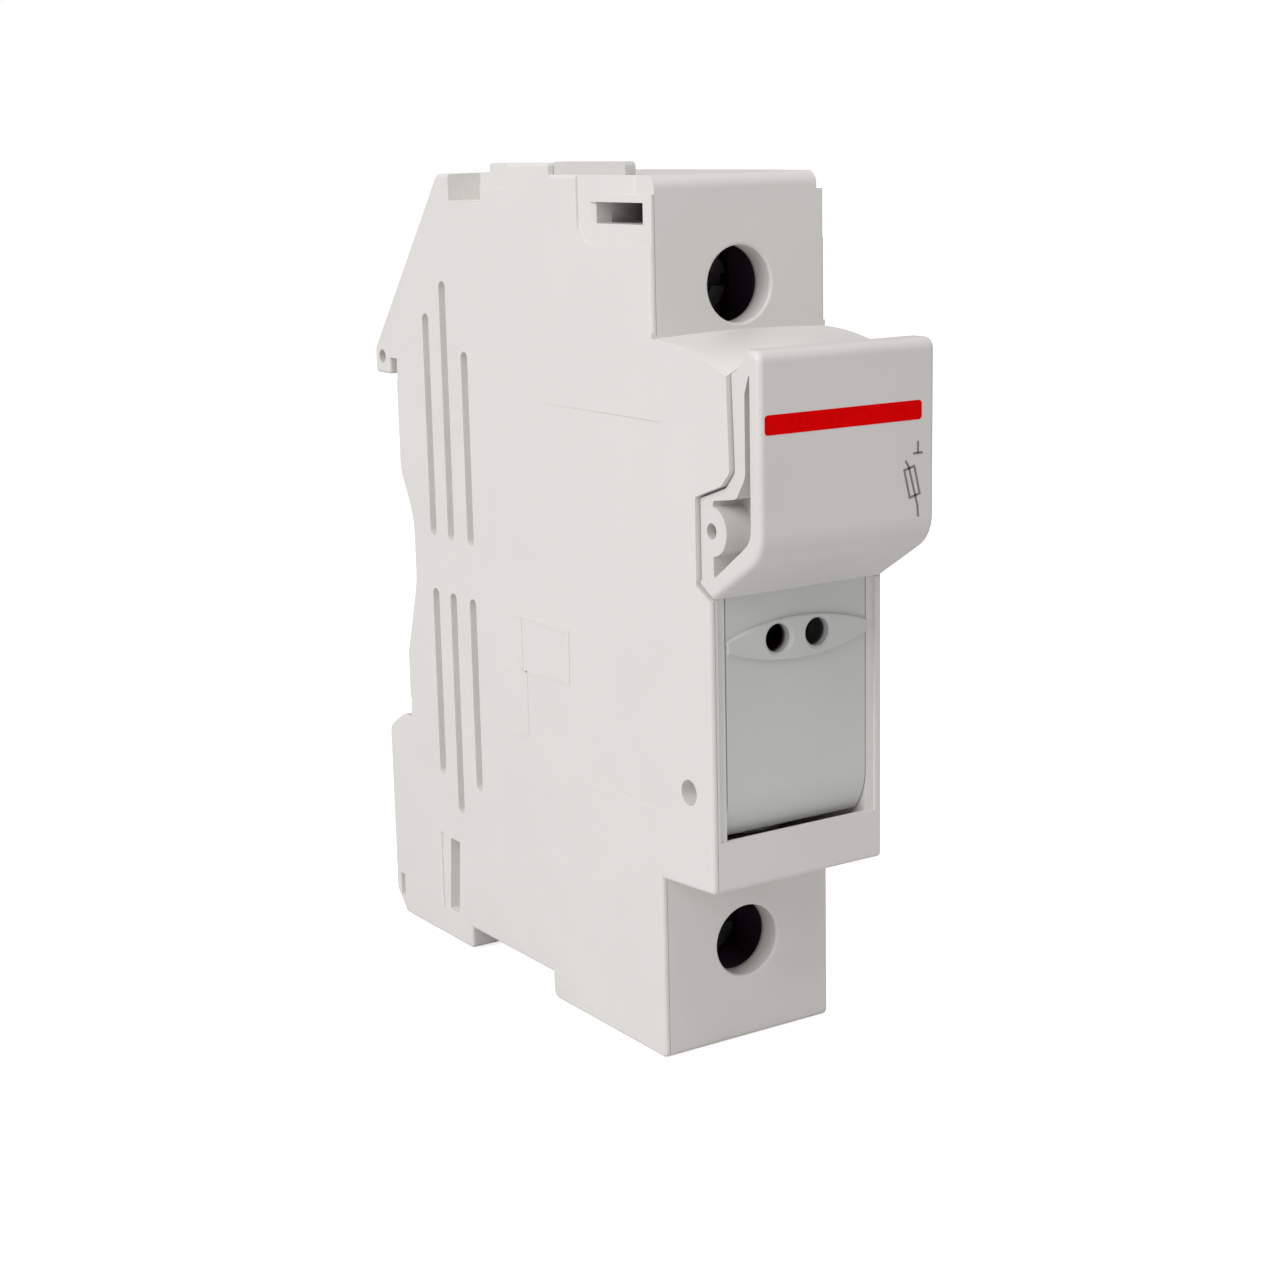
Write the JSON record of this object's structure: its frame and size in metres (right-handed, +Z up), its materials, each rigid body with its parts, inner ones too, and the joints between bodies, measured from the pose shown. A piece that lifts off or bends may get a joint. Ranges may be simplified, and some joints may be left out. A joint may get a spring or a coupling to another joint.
{
  "type": "cartridge fuse holder",
  "caption": "Rail-mounted modular fuse holder with a hinged carrier that swings out to change a cylindrical fuse, screw clamps, and a sprung rail clip.",
  "frame": {"origin": "mid width, on the rail seat plane, at the rail's centre line", "axes": "+Z up the rail's plane, -Y to the front of the holder, +X to the right seen from the front"},
  "size_m": [0.0176, 0.063, 0.075],
  "materials": {
    "housing_plastic": "light warm grey moulded polyamide, fine satin texture",
    "grip_plastic": "light warm grey moulded polyamide, fine satin texture",
    "carrier_plastic": "mid grey moulded polyamide, satin",
    "marker_plastic": "grey moulded plastic, satin",
    "clip_plastic": "grey glass-filled polyamide, satin",
    "fuse_ceramic": "unglazed white steatite tube",
    "cap_metal": "nickel-plated cap, bright",
    "element_metal": "silver strip",
    "contact_metal": "tin-plated copper alloy, satin",
    "spring_steel": "blued spring steel",
    "steel": "zinc-plated steel"
  },
  "bodies": {
    "housing": {"housing_body": "housing_plastic", "housing_cover": "housing_plastic", "marker_strip": "marker_plastic", "hinge_pin": "housing_plastic", "upper_contact": "contact_metal", "lower_contact": "contact_metal", "upper_jaw_spring": "spring_steel", "lower_jaw_spring": "spring_steel", "clip_spring": "spring_steel"},
    "carrier": {"fuse_carrier": "carrier_plastic", "carrier_grip": "grip_plastic", "fuse_tube": "fuse_ceramic", "fuse_cap_upper": "cap_metal", "fuse_cap_lower": "cap_metal", "fuse_element": "element_metal", "upper_probe_contact": "contact_metal", "lower_probe_contact": "contact_metal"},
    "latch": {"rail_clip": "clip_plastic"},
    "upper_screw": {"upper_terminal_screw": "steel"},
    "upper_cage": {"upper_clamp_cage": "steel"},
    "lower_screw": {"lower_terminal_screw": "steel"},
    "lower_cage": {"lower_clamp_cage": "steel"}
  },
  "joints": [
    {"name": "carrier_hinge", "type": "hinge", "parent": "housing", "child": "carrier", "pos_m": [0, -0.0482, -0.01445], "axis": [1, 0, 0], "range_deg": [0, 90]},
    {"name": "latch_slide", "type": "slide", "parent": "housing", "child": "latch", "axis": [0, 0, -1], "range_m": [0, 0.003], "stiffness_N_per_m": 2500, "springref_m": -0.002, "deforming": ["clip_spring"]},
    {"name": "upper_screw_turn", "type": "hinge", "parent": "housing", "child": "upper_screw", "pos_m": [0, -0.03, 0.026], "axis": [0, 1, 0], "range_deg": [0, 1800]},
    {"name": "upper_cage_slide", "type": "slide", "parent": "housing", "child": "upper_cage", "axis": [0, -1, 0], "range_m": [0, 0.004]},
    {"name": "lower_screw_turn", "type": "hinge", "parent": "housing", "child": "lower_screw", "pos_m": [0, -0.03, -0.0302], "axis": [0, 1, 0], "range_deg": [0, 1800]},
    {"name": "lower_cage_slide", "type": "slide", "parent": "housing", "child": "lower_cage", "axis": [0, -1, 0], "range_m": [0, 0.004]}
  ],
  "couplings": [
    {"joint": "upper_screw_turn", "follows": "upper_cage_slide", "rad_per_m": 7853.9},
    {"joint": "lower_screw_turn", "follows": "lower_cage_slide", "rad_per_m": 7853.9}
  ]
}
